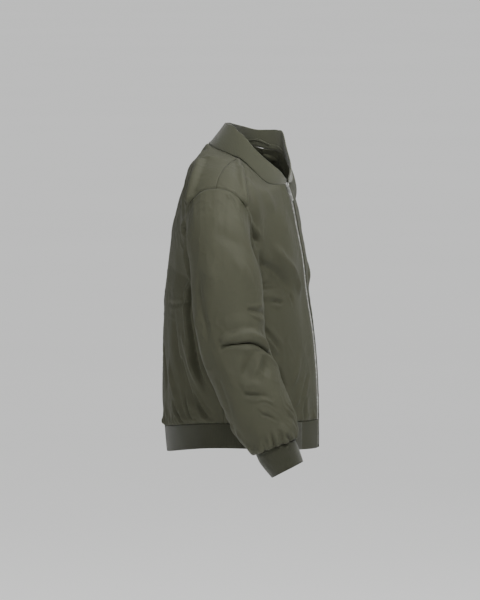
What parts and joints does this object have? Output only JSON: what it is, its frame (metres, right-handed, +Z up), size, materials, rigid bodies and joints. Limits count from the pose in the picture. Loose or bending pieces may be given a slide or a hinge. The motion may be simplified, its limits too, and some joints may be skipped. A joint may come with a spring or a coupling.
{
  "type": "bomber jacket",
  "caption": "Zip-fronted bomber jacket holding its worn, hollow form with both arms hanging: smooth woven shell with ribbed collar, cuffs and hem.",
  "frame": {"origin": "middle of the neck at the level of the shoulders, where the wearer holds the jacket", "axes": "+Z up the wearer's back, +X to the wearer's left, -Y out of the front where the zip is"},
  "size_m": [0.6708, 0.3476, 0.7394],
  "materials": {
    "back": "smooth satin-weave nylon",
    "front_left": "smooth satin-weave nylon",
    "front_right": "smooth satin-weave nylon",
    "sleeve_left": "smooth satin-weave nylon",
    "sleeve_right": "smooth satin-weave nylon",
    "cuff_left": "ribbed knit",
    "cuff_right": "ribbed knit",
    "collar": "ribbed knit",
    "hem_rib": "ribbed knit",
    "hem_tab_left": "smooth woven nylon",
    "hem_tab_right": "smooth woven nylon",
    "lining": "thin quilted taffeta",
    "neck_tape": "woven tape",
    "hanger_loop": "woven tape",
    "zip_tape_left": "woven tape",
    "zip_tape_right": "woven tape",
    "zip_chain": "satin",
    "zip_slider": "satin",
    "zip_pull": "satin"
  },
  "bodies": {
    "jacket": {"back": "back", "front_left": "front_left", "front_right": "front_right", "sleeve_left": "sleeve_left", "sleeve_right": "sleeve_right", "cuff_left": "cuff_left", "cuff_right": "cuff_right", "collar": "collar", "hem_rib": "hem_rib", "hem_tab_left": "hem_tab_left", "hem_tab_right": "hem_tab_right", "lining": "lining", "neck_tape": "neck_tape", "hanger_loop": "hanger_loop", "zip_tape_left": "zip_tape_left", "zip_tape_right": "zip_tape_right", "zip_chain": "zip_chain", "zip_slider": "zip_slider"},
    "pull": {"zip_pull": "zip_pull"}
  },
  "joints": [
    {"name": "pull_tab_hinge", "type": "hinge", "parent": "jacket", "child": "pull", "pos_m": [-0.0199, -0.10757, -0.07124], "axis": [-0.9436, 0.277, -0.1812], "range_deg": [0, 110]}
  ]
}
